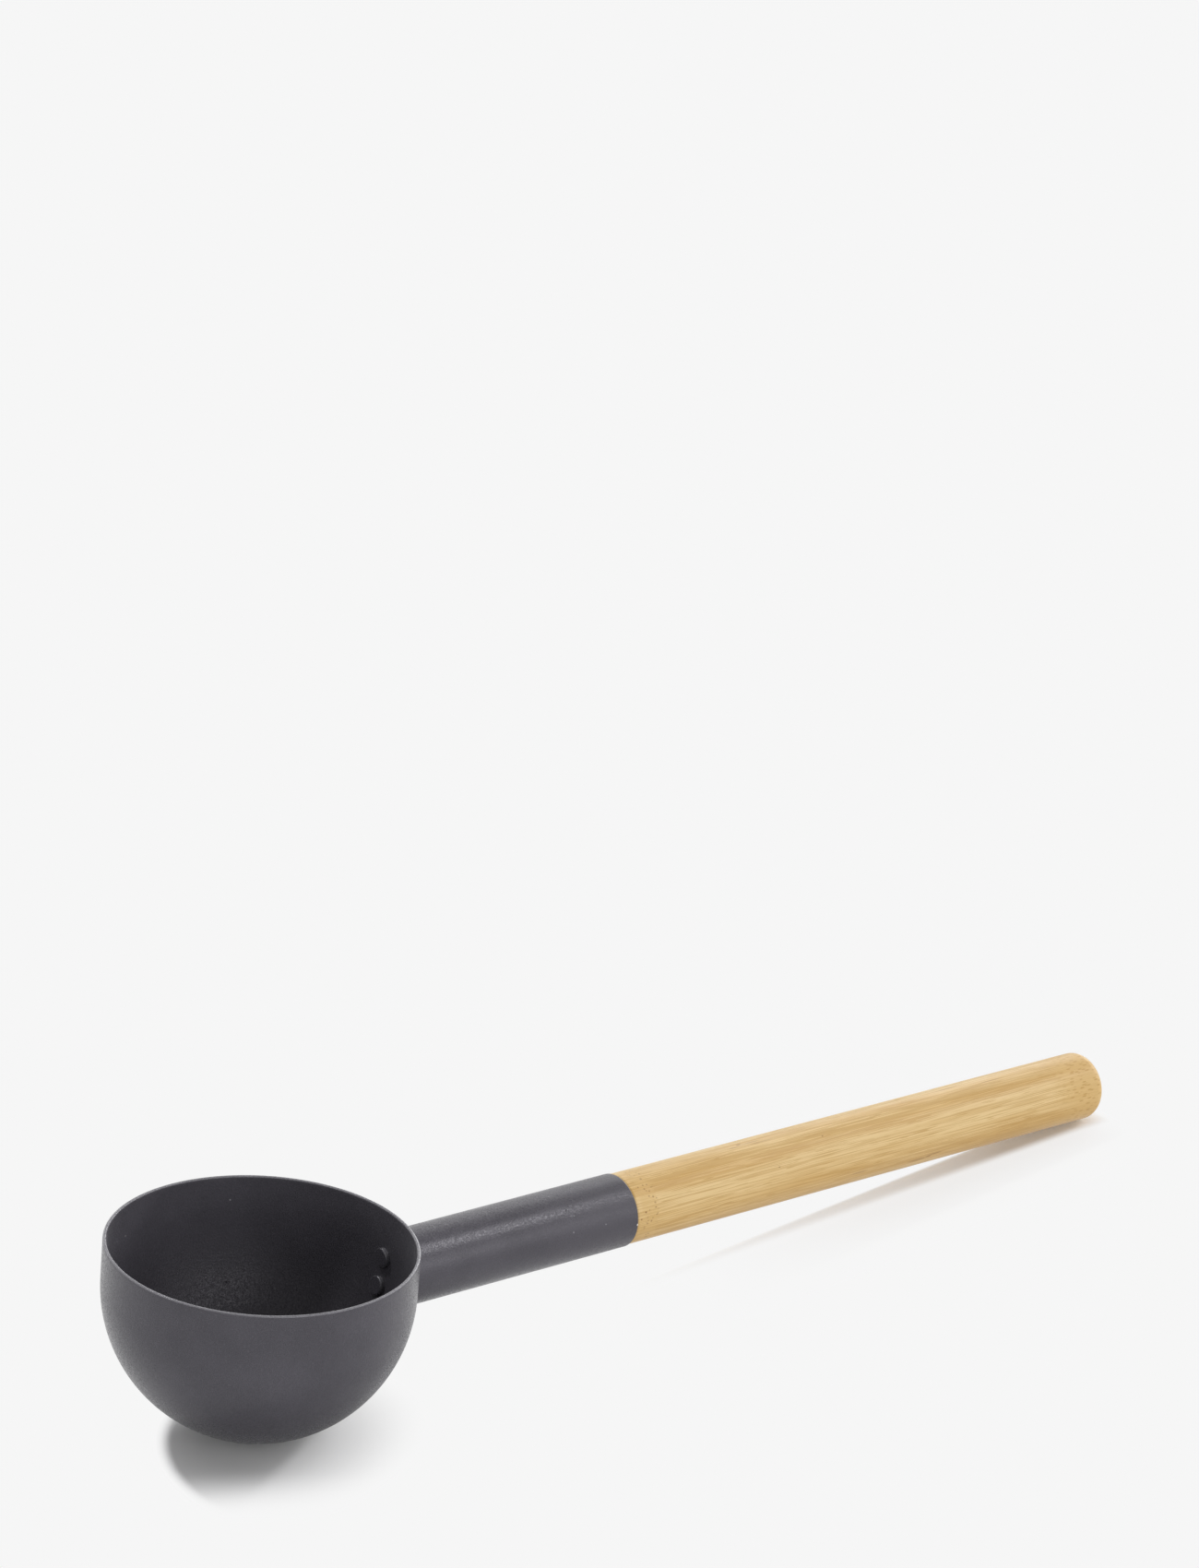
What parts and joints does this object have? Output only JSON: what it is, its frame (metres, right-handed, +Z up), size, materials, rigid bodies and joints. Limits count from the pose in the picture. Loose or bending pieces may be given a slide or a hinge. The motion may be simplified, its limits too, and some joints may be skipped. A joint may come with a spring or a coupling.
{
  "type": "sauna ladle",
  "caption": "Sauna ladle: round-bottomed dark grey metal bowl, a tubular metal socket riveted to its side and a straight round bamboo handle with a rounded end.",
  "frame": {"origin": "middle of the ladle's bounding box, on the level ground that it lies on", "axes": "+X from the bowl towards the free end of the handle, +Z up; the ladle is symmetric about the XZ plane and lies on the bowl's round bottom and the handle's end, which tips it by 4.8 degrees"},
  "size_m": [0.4122, 0.1, 0.0683],
  "materials": {
    "bowl_coat": "matte dark grey powder coat with a fine grain",
    "socket_coat": "matte dark grey powder coat with a fine grain",
    "rivet_coat": "matte dark grey powder coat with a fine grain",
    "bamboo": "sanded bamboo, lightly oiled, with nodes and fibre streaks"
  },
  "bodies": {
    "root": {"bowl": "bowl_coat", "handle_socket": "socket_coat", "rivets": "rivet_coat", "bamboo_handle": "bamboo"}
  },
  "joints": []
}
